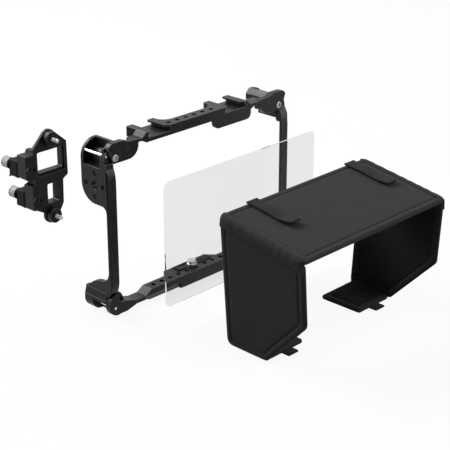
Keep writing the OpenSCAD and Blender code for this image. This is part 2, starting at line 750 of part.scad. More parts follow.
module clamp_plate() {
    u = clamp_unit;
    win_x = 11.2 * u;
    win_z = 43.1 * u;
    color([0.15, 0.15, 0.16]) at_clamp() difference() {
        union() {
            along_y(0, clamp_lug_t) {
                circle(clamp_lug_r);
                translate([0, clamp_pitch]) circle(clamp_lug_r);
                polygon([for (p = [[-12.3, 46.4], [-3.9, 55], [4.2, 54.7], [14.1, 46.1], [14.3, 23.7],
                                   [10.3, 21.3], [9.9, 5.7], [4.9, -2.6], [-5.2, 1.9], [-12.3, 5.9]]) p * u]);
            }
            along_y(0, clamp_t)
                polygon([for (p = [[-12.3, 45.2], [14.1, 46.1], [14.3, 23.7], [10.3, 21.3], [9.9, 5.7],
                                   [8.6, 4.3], [-8.3, 5.4], [-12.3, 5.9]]) p * u]);
            along_y(0, block_d) {
                polygon([for (p = [[-8.9, 26], [-8.9, 45.2], [-11.9, 45.1], [-12.9, 43], [-18.9, 43],
                                   [-18.9, 28.3], [-17.7, 27.5], [-15.9, 26]]) p * u]);
                polygon([for (p = [[-3.7, 5.9], [-3.7, 22.5], [-10.9, 25.7], [-12.3, 22.9], [-14.6, 22.3],
                                   [-14.6, 6.5], [-13.8, 5.8]]) p * u]);
            }
            for (z = [0, clamp_pitch]) y_hole(0, z, 2 * boss_r, -boss_h, clamp_lug_t);
        }
        along_y(-cut, block_d + cut) {
            translate([win_x - big_window_w, win_z - big_window_h])
                cut_square(big_window_w, big_window_h, [1, 1, 1, 1]);
            translate([6.2 * u - small_window_w, 20.9 * u - small_window_h])
                cut_square(small_window_w, small_window_h, [1, 1, 1, 1]);
        }
        along_y(-cut, 1.5) translate([win_x - big_window_w - big_rim, win_z - big_window_h - big_rim])
            cut_square(big_window_w + big_rim + 0.8, big_window_h + big_rim + 0.2, [1.5, 1.5, 1.5, 1.5]);
        for (k = [upper_knob, lower_knob]) {
            y_hole(k[0], k[1], thumb_d + 2 * run_gap, -cut, block_d + cut);
            y_hole(k[0] + jaw_pin_x, k[1] - 1.2, jaw_pin_d + 2 * fix_gap, -cut, block_d + cut);
        }
        for (z = [0, clamp_pitch]) y_hole(0, z, m_d + 2 * run_gap, -boss_h - cut, clamp_lug_t + cut);
    }
}

// Jaw about its screw, ribs towards the block
module jaw(k) {
    pitch = jaw_w / (rib_n + 0.5);
    color([0.1, 0.1, 0.1]) translate([clamp_x + k[0], jaw_y, clamp_z + k[1]]) difference() {
        along_y(0, jaw_t) translate([-jaw_left, -jaw_low]) cut_square(jaw_w, jaw_h, [1, 1, 1, 1]);
        for (i = [0:rib_n - 1]) translate([-jaw_left + (i + 0.5) * pitch, -cut, -jaw_h])
            cube([pitch / 2, rib_d + cut, 2 * jaw_h]);
        y_hole(0, 0, thumb_d + 2 * run_gap, -cut, jaw_t + cut);
        y_hole(jaw_pin_x, -1.2, jaw_pin_d + 4 * run_gap, -cut, jaw_t + cut);
    }
}

module upper_jaw() {
    jaw(upper_knob);
}

module lower_jaw() {
    jaw(lower_knob);
}

// Thumb screw about its own axis, from the block's front face to the back of the knob
module thumb_screw(k) {
    color([0.82, 0.82, 0.83]) translate([clamp_x + k[0], 0, clamp_z + k[1]]) {
        y_hole(0, 0, thumb_d, clamp_y + 1.5, knob_y + cut);
        along_y(knob_y, knob_y + knob_h - 0.8) difference() {
            circle(d = knob_d);
            for (i = [0:grip_n - 1]) rotate(i * 360 / grip_n)
                translate([knob_d / 2 + 0.25, 0]) circle(d = 1, $fn = 16);
        }
        translate([0, knob_y + knob_h - 0.8, 0]) rotate([-90, 0, 0])
            cylinder(d1 = knob_d - 0.6, d2 = knob_d - 1.8, h = 0.8);
    }
}

module upper_thumb_screw() {
    thumb_screw(upper_knob);
}

module lower_thumb_screw() {
    thumb_screw(lower_knob);
}

module jaw_dowels() {
    color([0.7, 0.7, 0.72]) for (k = [upper_knob, lower_knob])
        y_hole(clamp_x + k[0] + jaw_pin_x, clamp_z + k[1] - 1.2, jaw_pin_d, clamp_y + 2.5, jaw_y + jaw_t);
}

// Clamp screw, head at the back and thread to the front
module mount_screw(z) {
    translate([clamp_x, clamp_y + clamp_lug_t + m_head_h - 0.05, z]) mirror([0, 1, 0])
        small_screw(m_head_h - 0.2, clamp_lug_t + boss_h + stud_out, clamp_lug_t + boss_h + 0.15);
}

module upper_mount_screw() {
    mount_screw(clamp_z + clamp_pitch);
}

module lower_mount_screw() {
    mount_screw(clamp_z);
}

module screen_protector() {
    color([0.8, 0.9, 0.95, 0.5]) along_y(glass_y, glass_y + glass_t) translate([-glass_w / 2, glass_z])
        cut_square(glass_w, glass_h, [glass_r, glass_r, glass_r, glass_r]);
}

// One layer of a panel lying in XY with its outer face at z = 0 and its inner face up
module panel_layer(outline, layer) {
    if (layer == "cover") color([0.13, 0.13, 0.14]) difference() {
        linear_extrude(panel_t) polygon(outline);
        translate([0, 0, cover_t]) linear_extrude(panel_t) polygon(inset(outline, hem_w));
    }
    if (layer == "board") color([0.3, 0.3, 0.3]) translate([0, 0, cover_t])
        linear_extrude(board_t) polygon(inset(outline, hem_w + seat_gap));
    if (layer == "lining") color([0.07, 0.07, 0.07]) translate([0, 0, cover_t + board_t])
        linear_extrude(lining_t) polygon(inset(outline, hem_w + seat_gap));
}

// The hood's own place: middle of the rear top edge, Y along the slope
module at_hood() {
    translate([hood_x, hood_y, hood_h]) rotate([slope, 0, 0]) children();
}

module hood_top(layer) {
    at_hood() mirror([0, 0, 1])
        panel_layer([[-hood_w / 2, -top_len], [hood_w / 2, -top_len], [hood_w / 2, 0], [-hood_w / 2, 0]],
            layer);
}

// A point of the side panel: f forward of the rear edge and d below the hood's height
function side_point(f, d) =
    [f * cos(slope) + d * sin(slope), (d * cos(slope) - f * sin(slope)) / cos(hood_lean)];

module side_panel(layer) {
    floor_d = hood_h - panel_t - 0.4;
    outline = [side_point(0, fold_gap), side_point(hood_d - fold_gap, fold_gap + hood_drop),
               side_point(hood_d - fold_gap, hood_h - panel_t - hood_front_z),
               side_point(hood_foot, floor_d), side_point(0, floor_d)];
    at_hood() translate([inner_x, 0, -panel_t]) rotate([0, hood_lean, 0]) rotate([-90, 0, -90])
        mirror([0, 0, 1]) translate([0, 0, -panel_t]) panel_layer(outline, layer);
}

module floor_flap(layer) {
    translate([hood_x, 0, 0])
        panel_layer([[flap_edge - flap_w, flap_y], [flap_edge, flap_y], [flap_edge, hood_y - fold_gap],
                     [flap_edge - flap_w, hood_y - fold_gap]], layer);
}

module to_left() {
    translate([2 * hood_x, 0, 0]) mirror([1, 0, 0]) children();
}

module hood_top_cover() {
    hood_top("cover");
}

module hood_top_board() {
    hood_top("board");
}

module hood_top_lining() {
    hood_top("lining");
}

module left_panel_cover() {
    to_left() side_panel("cover");
}

module left_panel_board() {
    to_left() side_panel("board");
}

module left_panel_lining() {
    to_left() side_panel("lining");
}

module right_panel_cover() {
    side_panel("cover");
}

module right_panel_board() {
    side_panel("board");
}

module right_panel_lining() {
    side_panel("lining");
}

module left_flap_cover() {
    to_left() floor_flap("cover");
}

module left_flap_board() {
    to_left() floor_flap("board");
}

module left_flap_lining() {
    to_left() floor_flap("lining");
}

module right_flap_cover() {
    floor_flap("cover");
}

module right_flap_board() {
    floor_flap("board");
}

module right_flap_lining() {
    floor_flap("lining");
}

module strap(x) {
    color([0.2, 0.2, 0.21]) at_hood() translate([x - strap_w / 2, -strap_len, 0.1])
        linear_extrude(strap_t) cut_square(strap_w, strap_len, [1.5, 1.5, 0, 0]);
}

module left_strap() {
    strap(left_strap_in - hood_w / 2);
}

module right_strap() {
    strap(hood_w / 2 - right_strap_in);
}

module flap_tab() {
    color([0.06, 0.06, 0.06])
        translate([hood_x + flap_edge - flap_w * 0.5 - tab_w / 2, flap_y - tab_len, 0.2])
        linear_extrude(tab_t) cut_square(tab_w, tab_len, [1, 1, 0, 0]);
}

module left_flap_tab() {
    to_left() flap_tab();
}

module right_flap_tab() {
    flap_tab();
}

top_bar();
bottom_bar();
left_side_bar();
right_side_bar();
strap_pins();
corner_screws();
lug_dowels();
bottom_pad();
retaining_screw();
screw_clip();
clamp_plate();
upper_jaw();
lower_jaw();
upper_thumb_screw();
lower_thumb_screw();
jaw_dowels();
upper_mount_screw();
lower_mount_screw();
screen_protector();
hood_top_cover();
hood_top_board();
hood_top_lining();
left_panel_cover();
left_panel_board();
left_panel_lining();
right_panel_cover();
right_panel_board();
right_panel_lining();
left_flap_cover();
left_flap_board();
left_flap_lining();
right_flap_cover();
right_flap_board();
right_flap_lining();
left_strap();
right_strap();
left_flap_tab();
right_flap_tab();
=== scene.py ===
import json
import math
import bmesh
import bpy
import numpy as np
from mathutils import Matrix, Vector

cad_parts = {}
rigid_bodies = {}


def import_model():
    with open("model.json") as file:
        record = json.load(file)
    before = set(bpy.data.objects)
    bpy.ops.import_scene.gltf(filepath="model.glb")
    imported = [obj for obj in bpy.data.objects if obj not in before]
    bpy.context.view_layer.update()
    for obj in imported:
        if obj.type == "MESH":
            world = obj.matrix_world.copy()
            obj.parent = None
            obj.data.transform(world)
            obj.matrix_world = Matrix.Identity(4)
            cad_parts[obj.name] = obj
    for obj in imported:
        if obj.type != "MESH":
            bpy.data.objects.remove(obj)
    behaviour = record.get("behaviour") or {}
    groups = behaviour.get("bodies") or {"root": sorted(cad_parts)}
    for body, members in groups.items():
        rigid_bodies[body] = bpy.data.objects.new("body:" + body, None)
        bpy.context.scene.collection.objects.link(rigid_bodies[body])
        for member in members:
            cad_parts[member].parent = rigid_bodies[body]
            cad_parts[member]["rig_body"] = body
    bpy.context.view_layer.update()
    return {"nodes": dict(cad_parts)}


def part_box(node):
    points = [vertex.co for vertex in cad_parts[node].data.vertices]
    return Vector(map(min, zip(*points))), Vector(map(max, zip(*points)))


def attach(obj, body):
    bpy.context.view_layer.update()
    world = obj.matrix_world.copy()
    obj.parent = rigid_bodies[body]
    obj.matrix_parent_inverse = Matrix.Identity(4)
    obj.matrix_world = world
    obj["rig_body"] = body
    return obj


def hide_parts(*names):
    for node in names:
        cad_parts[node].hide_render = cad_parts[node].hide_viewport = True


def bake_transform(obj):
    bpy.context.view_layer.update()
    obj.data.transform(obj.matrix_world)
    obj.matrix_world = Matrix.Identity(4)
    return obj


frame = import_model()

# The studio: a plain white sweep under soft lamps.
scene = bpy.context.scene
scene.view_settings.view_transform = "Standard"


def put_in_scene(name, data):
    made = bpy.data.objects.new(name, data)
    scene.collection.objects.link(made)
    return made


camera = put_in_scene("camera", bpy.data.cameras.new("camera"))
camera.data.lens = 105.6
camera.data.sensor_width = 36.0
camera.data.clip_start = 0.01
camera.data.clip_end = 20.0
camera.location = (-0.5619, -0.5640, 0.3696)
camera.rotation_euler = (math.radians(67.32), 0.0, math.radians(-46.15))
scene.camera = camera


def soft_lamp(name, place, aim, size, watts):
    lamp = bpy.data.lights.new(name, "AREA")
    lamp.shape = "DISK"
    lamp.size = size
    lamp.energy = watts
    holder = put_in_scene(name, lamp)
    holder.location = place
    holder.rotation_euler = (Vector(aim) - Vector(place)).to_track_quat("-Z", "Y").to_euler()
    holder.visible_transmission = False


soft_lamp("overhead_lamp", (-0.05, -0.05, 1.30), (0.0, -0.02, 0.05), 1.1, 2.0)
soft_lamp("right_front_lamp", (0.90, -1.00, 0.62), (0.0, -0.03, 0.06), 1.1, 10.0)
soft_lamp("rear_lamp", (-0.155, 0.865, 1.05), (0.0, 0.0, 0.06), 0.55, 12.0)
soft_lamp("left_rear_lamp", (-0.60, 0.88, 0.86), (0.0, 0.0, 0.06), 0.60, 6.0)
soft_lamp("left_low_lamp", (-0.92, 0.98, 0.57), (0.0, 0.0, 0.05), 0.90, 3.0)


def fitted(tree, made, settings, inputs):
    """A node with its own settings set, and its inputs set or linked."""
    for key, value in (settings or {}).items():
        setattr(made, key, value)
    for key, value in (inputs or {}).items():
        if isinstance(value, bpy.types.NodeSocket):
            tree.links.new(value, made.inputs[key])
        else:
            made.inputs[key].default_value = value
    return made


def add(tree, kind, settings=None, inputs=None):
    return fitted(tree, tree.nodes.new("ShaderNode" + kind), settings, inputs)


def maths(tree, operation, *values):
    return add(tree, "Math", {"operation": operation}, dict(enumerate(values))).outputs[0]


def seen_directly(tree):
    """1 where the camera sees the room, also mirrored or through glass, and 0 elsewhere."""
    path = add(tree, "LightPath").outputs
    mirrored = maths(tree, "MAXIMUM", path["Is Glossy Ray"], path["Is Transmission Ray"])
    shown = maths(tree, "MAXIMUM", path["Is Camera Ray"], mirrored)
    unscattered = maths(tree, "LESS_THAN", path["Diffuse Depth"], 0.5)
    return maths(tree, "MULTIPLY", shown, unscattered)


def emptied(made):
    """A material or a world with its node tree emptied, and that tree."""
    made.use_nodes = True
    made.node_tree.nodes.clear()
    return made, made.node_tree


room, tree = emptied(bpy.data.worlds.new("white_room"))
scene.world = room
backdrop = add(tree, "Background", None, {"Color": (1, 1, 1, 1), "Strength": 1.0})
fill = add(tree, "Background", None, {"Color": (0.95, 0.97, 1, 1), "Strength": 0.14})
either = add(tree, "MixShader", None,
             {0: seen_directly(tree), 1: fill.outputs[0], 2: backdrop.outputs[0]})
add(tree, "OutputWorld", None, {"Surface": either.outputs[0]})

floor_mesh = bpy.data.meshes.new("floor")
reach, level = 4.0, -0.0003
corners = [(x * reach, y * reach, level) for x, y in ((-1, -1), (1, -1), (1, 1), (-1, 1))]
floor_mesh.from_pydata(corners, [], [(0, 1, 2, 3)])
floor = put_in_scene("floor", floor_mesh)
paper, tree = emptied(bpy.data.materials.new("white_paper"))
in_view = seen_directly(tree)
tone = add(tree, "MapRange", None,
           {"Value": in_view, "From Min": 0.0, "From Max": 1.0, "To Min": 0.25, "To Max": 0.95})
matt = add(tree, "BsdfDiffuse", None, {"Color": tone.outputs[0]})
lit = add(tree, "Emission", None, {"Color": (1, 1, 1, 1), "Strength": 1.0})
share = maths(tree, "MULTIPLY", in_view, 0.92)
either = add(tree, "MixShader", None, {0: share, 1: matt.outputs[0], 2: lit.outputs[0]})
add(tree, "OutputMaterial", None, {"Surface": either.outputs[0]})
floor_mesh.materials.append(paper)

# The cage's four bars: milled from aluminium, blasted and anodised black, with every edge broken.
# The broken edges are coloured lighter, partly as rubbed-through anodising and partly as a painted
# highlight along every edge. The side bars carry the strap corners, barrel feet and the plate. Two
# screws hold the top bar to them, and two pins the bottom bar.


def shader_group(name, inputs, outputs):
    group = bpy.data.node_groups.new(name, "ShaderNodeTree")
    for label, kind, value in inputs:
        socket = group.interface.new_socket(label, in_out="INPUT", socket_type="NodeSocket" + kind)
        if value is not None:
            socket.default_value = value
    for label, kind in outputs:
        group.interface.new_socket(label, in_out="OUTPUT", socket_type="NodeSocket" + kind)
    return group, group.nodes.new("NodeGroupInput"), group.nodes.new("NodeGroupOutput")


def placed(tree, group, inputs):
    return add(tree, "Group", {"node_tree": group}, inputs)


blast_grain, given, put = shader_group(
    "blast_grain",
    [("Place", "Vector", None), ("Fine Scale", "Float", 5200.0), ("Broad Scale", "Float", 60.0)],
    [("Height", "Float"), ("Tone", "Float")])
fine = add(blast_grain, "TexNoise", None,
           {"Vector": given.outputs["Place"], "Scale": given.outputs["Fine Scale"], "Detail": 3.0,
            "Roughness": 0.65})
broad = add(blast_grain, "TexNoise", None,
            {"Vector": given.outputs["Place"], "Scale": given.outputs["Broad Scale"], "Detail": 4.0,
             "Roughness": 0.6})
blast_grain.links.new(fine.outputs["Fac"], put.inputs["Height"])
blast_grain.links.new(broad.outputs["Fac"], put.inputs["Tone"])

# Broken-edge colour mask: the faces that the rounds add, with patchy rubbing that never drops below
# about half. It is part wear and part a painted highlight along every edge.
edge_wear_and_highlight, given, put = shader_group(
    "edge_wear_and_highlight",
    [("Place", "Vector", None), ("Patch Scale", "Float", 220.0)], [("Mask", "Float")])
broken = add(edge_wear_and_highlight, "Attribute", {"attribute_name": "edge"})
patch = add(edge_wear_and_highlight, "TexNoise", None,
            {"Vector": given.outputs["Place"], "Scale": given.outputs["Patch Scale"], "Detail": 5.0,
             "Roughness": 0.7})
rubbed_and_highlit = add(edge_wear_and_highlight, "MapRange", {"clamp": True},
             {"Value": patch.outputs["Fac"], "From Min": 0.38, "From Max": 0.66, "To Min": 0.45,
              "To Max": 1.0})
worn_and_highlit = maths(edge_wear_and_highlight, "MULTIPLY", broken.outputs["Fac"], rubbed_and_highlit.outputs[0])
edge_wear_and_highlight.links.new(worn_and_highlit, put.inputs["Mask"])


def mixed(tree, amount, first, second):
    made = add(tree, "Mix", {"data_type": "RGBA"})
    for key, value in (("Factor_Float", amount), ("A_Color", first), ("B_Color", second)):
        socket = next(s for s in made.inputs if s.identifier == key)
        if isinstance(value, bpy.types.NodeSocket):
            tree.links.new(value, socket)
        else:
            socket.default_value = value
    return next(s for s in made.outputs if s.identifier == "Result_Color")


def spread(tree, value, low, high):
    made = add(tree, "MapRange", {"clamp": True},
               {"Value": value, "From Min": 0.3, "From Max": 0.7, "To Min": low, "To Max": high})
    return made.outputs[0]


def anodised_metal(name, dark, light, worn_and_highlit_colour, rough, gloss):
    made, tree = emptied(bpy.data.materials.new(name))
    place = add(tree, "TexCoord").outputs["Object"]
    grain = placed(tree, blast_grain, {"Place": place})
    wear_and_highlight = placed(tree, edge_wear_and_highlight, {"Place": place})
    coat = mixed(tree, grain.outputs["Tone"], dark, light)
    # The lighter colour on broken edges is part worn anodising and part a painted highlight.
    colour = mixed(tree, wear_and_highlight.outputs["Mask"], coat, worn_and_highlit_colour)
    bump = add(tree, "Bump", None,
               {"Height": grain.outputs["Height"], "Strength": 0.22, "Distance": 0.00006})
    shade = add(tree, "BsdfPrincipled", None,
                {"Base Color": colour,
                 "Roughness": spread(tree, grain.outputs["Tone"], rough - 0.04, rough + 0.05),
                 "Metallic": 0.0, "Specular IOR Level": gloss, "Normal": bump.outputs[0]})
    add(tree, "OutputMaterial", None, {"Surface": shade.outputs[0]})
    return made


# Two coat colours, then the broken-edge colour, which is part wear and part a painted highlight.
black_anodised = anodised_metal("black_anodised", (0.008, 0.008, 0.0085, 1),
                                (0.014, 0.014, 0.015, 1), (0.16, 0.16, 0.165, 1), 0.34, 0.18)


def evaluated(holder):
    """The plain mesh that an object's modifiers make."""
    now = bpy.context.evaluated_depsgraph_get()
    return bpy.data.meshes.new_from_object(holder.evaluated_get(now))


def machined(node, edge, finish, turn_at=32.0, crisp=16.0):
    """A copy of a milled part, its edges broken by a small round that narrows with its faces."""
    one_point, one_plane = 0.00004, math.radians(0.4)
    face_share, gap_share, run_on_share = 0.4, 0.45, 0.1
    slit_y, slit_z = (-0.0020, -0.0006), (0.0218, 0.0222)
    source = frame["nodes"][node]
    mesh = source.data.copy()
    work = bmesh.new()
    work.from_mesh(mesh)
    bmesh.ops.remove_doubles(work, verts=work.verts, dist=one_point)
    bmesh.ops.dissolve_limit(work, angle_limit=one_plane, verts=work.verts, edges=work.edges,
                             use_dissolve_boundaries=False)
    share = work.edges.layers.float.new("bevel_weight_edge")
    for line in work.edges:
        if not line.is_convex or line.calc_face_angle(0.0) < math.radians(turn_at):
            continue
        # The narrow slit above the foot has no room for a round.
        if all(slit_y[0] < end.co.y < slit_y[1] and slit_z[0] < end.co.z < slit_z[1]
               for end in line.verts):
            continue
        room = edge
        for part in line.link_faces:
            longest = max(side.calc_length() for side in part.edges)
            room = min(room, face_share * part.calc_area() / longest)
        for end in line.verts:
            way = (line.other_vert(end).co - end.co).normalized()
            for other in end.link_edges:
                span = other.other_vert(end).co - end.co
                across = (span - way * span.dot(way)).length
                if across > 0.5 * span.length:
                    room = min(room, gap_share * across)
                elif other is not line and span.dot(way) > 0.0:
                    room = min(room, run_on_share * edge)
        line[share] = room / edge
    work.to_mesh(mesh)
    work.free()
    mesh.materials.clear()
    # The second slot only marks the faces that the rounds add.
    mesh.materials.append(finish)
    mesh.materials.append(finish)
    mesh.polygons.foreach_set("material_index", [0] * len(mesh.polygons))
    piece = put_in_scene(node + "_milled", mesh)
    round_off = piece.modifiers.new("edge_break", "BEVEL")
    round_off.material = 1
    round_off.width = edge
    round_off.segments = 2
    round_off.limit_method = "WEIGHT"
    round_off.use_clamp_overlap = False
    rounded = evaluated(piece)
    piece.modifiers.clear()
    piece.data = rounded
    rounded.shade_smooth()
    rounded.set_sharp_from_angle(angle=math.radians(crisp))
    level = piece.modifiers.new("flat_faces", "WEIGHTED_NORMAL")
    level.mode = "FACE_AREA"
    level.weight = 100
    level.keep_sharp = True
    done = evaluated(piece)
    piece.modifiers.clear()
    piece.data = done
    broken = [0] * len(done.polygons)
    done.polygons.foreach_get("material_index", broken)
    # The faces that the rounds add carry the lighter edge colour, which is part wear and part a
    # painted highlight.
    worn_and_highlit_faces = done.attributes.new("edge", "FLOAT", "FACE")
    worn_and_highlit_faces.data.foreach_set("value", [float(k) for k in broken])
    done.polygons.foreach_set("material_index", [0] * len(done.polygons))
    done.materials.pop(index=1)
    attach(piece, source["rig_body"])
    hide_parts(node)


for bar in ("top_bar", "bottom_bar", "left_side_bar", "right_side_bar"):
    machined(bar, 0.00028, black_anodised)

# Strap pins, lug dowels and corner screws: ground steel pins pressed across the corners, small
# blackened dowels, and turned steel socket screws sunk in the top bar's lugs.


def bright_metal(name, dark, light, rough, streak):
    made, tree = emptied(bpy.data.materials.new(name))
    place = add(tree, "TexCoord").outputs["Object"]
    lathe = add(tree, "Mapping", None, {"Vector": place, "Scale": streak})
    marks = add(tree, "TexNoise", None,
                {"Vector": lathe.outputs[0], "Scale": 1.0, "Detail": 4.0, "Roughness": 0.6})
    grain = placed(tree, blast_grain, {"Place": place, "Broad Scale": 140.0})
    bump = add(tree, "Bump", None,
               {"Height": marks.outputs["Fac"], "Strength": 0.2, "Distance": 0.00004})
    shade = add(tree, "BsdfPrincipled", None,
                {"Base Color": mixed(tree, grain.outputs["Tone"], dark, light),
                 "Roughness": spread(tree, marks.outputs["Fac"], rough - 0.06, rough + 0.08),
                 "Metallic": 1.0, "Normal": bump.outputs[0]})
    add(tree, "OutputMaterial", None, {"Surface": shade.outputs[0]})
    return made


ground_steel = bright_metal("ground_steel", (0.56, 0.56, 0.57, 1), (0.78, 0.78, 0.79, 1), 0.24,
                            (500.0, 9000.0, 500.0))
black_steel = bright_metal("blackened_steel", (0.03, 0.03, 0.032, 1), (0.07, 0.07, 0.074, 1), 0.34,
                           (4000.0, 600.0, 4000.0))


def finished(node, finish):
    holder = frame["nodes"][node]
    holder.data.materials.clear()
    holder.data.materials.append(finish)


finished("strap_pins", ground_steel)
finished("lug_dowels", black_steel)


def named_inputs(tree, wanted):
    """Inputs on a node tree, by the identifiers that a modifier sets them with."""
    made = {}
    for label, kind in wanted:
        socket = tree.interface.new_socket(label, in_out="INPUT", socket_type="NodeSocket" + kind)
        made[label] = socket.identifier
    return made


helix = bpy.data.node_groups.new("thread_ridge", "GeometryNodeTree")
helix_inputs = named_inputs(helix, (("Radius", "Float"), ("Ridge", "Float"), ("Length", "Float"),
                                    ("Turns", "Float"), ("Finish", "Material")))
helix.interface.new_socket("Geometry", in_out="OUTPUT", socket_type="NodeSocketGeometry")


def geo(tree, kind, settings=None, inputs=None):
    return fitted(tree, tree.nodes.new(kind), settings, inputs)


given = helix.nodes.new("NodeGroupInput")
spiral = geo(helix, "GeometryNodeCurveSpiral", None,
             {"Resolution": 28, "Rotations": given.outputs["Turns"],
              "Start Radius": given.outputs["Radius"], "End Radius": given.outputs["Radius"],
              "Height": given.outputs["Length"]})
section = geo(helix, "GeometryNodeCurvePrimitiveCircle", None,
              {"Resolution": 4, "Radius": given.outputs["Ridge"]})
wound = geo(helix, "GeometryNodeCurveToMesh", None,
            {"Curve": spiral.outputs[0], "Profile Curve": section.outputs[0], "Fill Caps": True})
real = geo(helix, "GeometryNodeRealizeInstances", None, {"Geometry": wound.outputs[0]})
dressed = geo(helix, "GeometryNodeSetMaterial", None,
              {"Geometry": real.outputs[0], "Material": given.outputs["Finish"]})
helix.links.new(dressed.outputs[0], helix.nodes.new("NodeGroupOutput").inputs["Geometry"])


def grown(name, mesh, tree, values):
    """The plain mesh that a node tree makes from a mesh."""
    base = put_in_scene(name, mesh)
    modifier = base.modifiers.new(name, "NODES")
    modifier.node_group = tree
    for key, value in values.items():
        modifier[key] = value
    made = evaluated(base)
    bpy.data.objects.remove(base)
    return made


def mesh_from(work, name):
    mesh = bpy.data.meshes.new(name)
    work.to_mesh(mesh)
    work.free()
    return mesh


def turned(profile, steps=48):
    """A turned solid about Z from (radius, height) pairs, closed at both ends."""
    work = bmesh.new()
    turns = [2 * math.pi * i / steps for i in range(steps)]
    rings = []
    for radius, height in profile:
        spots = [(radius * math.cos(a), radius * math.sin(a), height) for a in turns]
        rings.append([work.verts.new(spot) for spot in spots])
    for low, high in zip(rings, rings[1:]):
        for i in range(steps):
            work.faces.new((low[i], low[(i + 1) % steps], high[(i + 1) % steps], high[i]))
    work.faces.new(list(reversed(rings[0])))
    work.faces.new(rings[-1])
    bmesh.ops.recalc_face_normals(work, faces=work.faces)
    return mesh_from(work, "turned")


def recessed(mesh, cutter):
    """A mesh with a tool's shape cut out of it."""
    blank = put_in_scene("blank", mesh)
    tool = put_in_scene("tool", cutter)
    drive = blank.modifiers.new("drive", "BOOLEAN")
    drive.operation = "DIFFERENCE"
    drive.object = tool
    drive.solver = "EXACT"
    made = evaluated(blank)
    bpy.data.objects.remove(blank)
    bpy.data.objects.remove(tool)
    return made


def threaded(node, profile, cutter, thread, spots, turn, finish):
    """Turned screws with drives cut in and threads wound on, in the place of a CAD node."""
    radius, ridge, start, length, turns = thread
    wire = grown("ridge", bpy.data.meshes.new("ridge"), helix,
                 {helix_inputs["Radius"]: radius, helix_inputs["Ridge"]: ridge,
                  helix_inputs["Length"]: length, helix_inputs["Turns"]: turns,
                  helix_inputs["Finish"]: finish})
    wire.transform(Matrix.Translation((0, 0, start)))
    shank = recessed(turned(profile), cutter)
    work = bmesh.new()
    for spot in spots:
        for part in (shank, wire):
            copy = part.copy()
            copy.transform(Matrix.Translation(spot) @ turn)
            work.from_mesh(copy)
    made = mesh_from(work, node + "_threaded")
    made.materials.clear()
    made.materials.append(finish)
    made.polygons.foreach_set("material_index", [0] * len(made.polygons))
    made.shade_smooth()
    made.set_sharp_from_angle(angle=math.radians(35))
    piece = put_in_scene(node + "_threaded", made)
    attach(piece, frame["nodes"][node]["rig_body"])
    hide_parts(node)


def hexagon(flats, low, high):
    mesh = bpy.data.meshes.new("hexagon")
    radius = flats / 2 / math.cos(math.pi / 6)
    turns = [math.pi / 3 * i for i in range(6)]
    ring = [(radius * math.cos(a), radius * math.sin(a)) for a in turns]
    mesh.from_pydata([(x, y, low) for x, y in ring] + [(x, y, high) for x, y in ring], [],
                     [tuple(range(5, -1, -1)), tuple(range(6, 12))]
                     + [(i, (i + 1) % 6, (i + 1) % 6 + 6, i + 6) for i in range(6)])
    return mesh


stud_steel = bright_metal("stud_steel", (0.34, 0.34, 0.35, 1), (0.60, 0.60, 0.62, 1), 0.28,
                          (3000.0, 3000.0, 3000.0))
low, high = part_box("corner_screws")
head, shank = 0.00225, 0.00118
threaded("corner_screws",
         [(0.0015, 0.0), (0.0019, 0.0), (head, 0.0003), (head, 0.0023), (0.0021, 0.0024),
          (shank, 0.0024), (shank, 0.0083), (0.0009, 0.0087), (0.0005, 0.0088)],
         hexagon(0.0026, -0.001, 0.0016), (0.00115, 0.0001, 0.0030, 0.0050, 11.0),
         [(x, low[1], (low[2] + high[2]) / 2) for x in (low[0] + head, high[0] - head)],
         Matrix.Rotation(math.radians(-90), 4, "X"), stud_steel)

# The rubber pad and the retaining screw: a moulded pad glued into its pocket, and a turned steel
# quarter-inch screw kept in the bar by a black spring clip.


def moulded(name, dark, light, rough, grain_scale, depth, gloss):
    made, tree = emptied(bpy.data.materials.new(name))
    place = add(tree, "TexCoord").outputs["Object"]
    grain = placed(tree, blast_grain,
                   {"Place": place, "Fine Scale": grain_scale, "Broad Scale": 90.0})
    bump = add(tree, "Bump", None,
               {"Height": grain.outputs["Height"], "Strength": 0.35, "Distance": depth})
    shade = add(tree, "BsdfPrincipled", None,
                {"Base Color": mixed(tree, grain.outputs["Tone"], dark, light),
                 "Roughness": spread(tree, grain.outputs["Height"], rough - 0.08, rough + 0.1),
                 "Specular IOR Level": gloss, "Normal": bump.outputs[0]})
    add(tree, "OutputMaterial", None, {"Surface": shade.outputs[0]})
    return made


rubber = moulded("pad_rubber", (0.010, 0.010, 0.010, 1), (0.020, 0.020, 0.020, 1), 0.72, 2600.0,
                 0.00012, 0.2)
finished("screw_clip", black_steel)
machined("bottom_pad", 0.0002, rubber)


def block(low, high):
    work = bmesh.new()
    bmesh.ops.create_cube(work, size=1.0)
    for v in work.verts:
        v.co = [low[k] if v.co[k] < 0 else high[k] for k in range(3)]
    return mesh_from(work, "block")


turned_steel = bright_metal("turned_steel", (0.50, 0.50, 0.51, 1), (0.72, 0.72, 0.74, 1), 0.27,
                            (900.0, 900.0, 7000.0))
head, shank, root = 0.0039, 0.0026, 0.0028
threaded("retaining_screw",
         [(0.0033, 0.0), (0.0037, 0.0), (head, 0.0002), (head, 0.0028), (0.0037, 0.003),
          (shank, 0.003), (shank, 0.0089), (root, 0.0090), (root, 0.0116), (shank, 0.0123),
          (0.0020, 0.0123)],
         block((-0.005, -0.0007, -0.001), (0.005, 0.0007, 0.0014)),
         (0.00274, 0.00044, 0.0092, 0.0026, 2.05), [(-0.0036, 0.003, 0.0004)], Matrix.Identity(4),
         turned_steel)
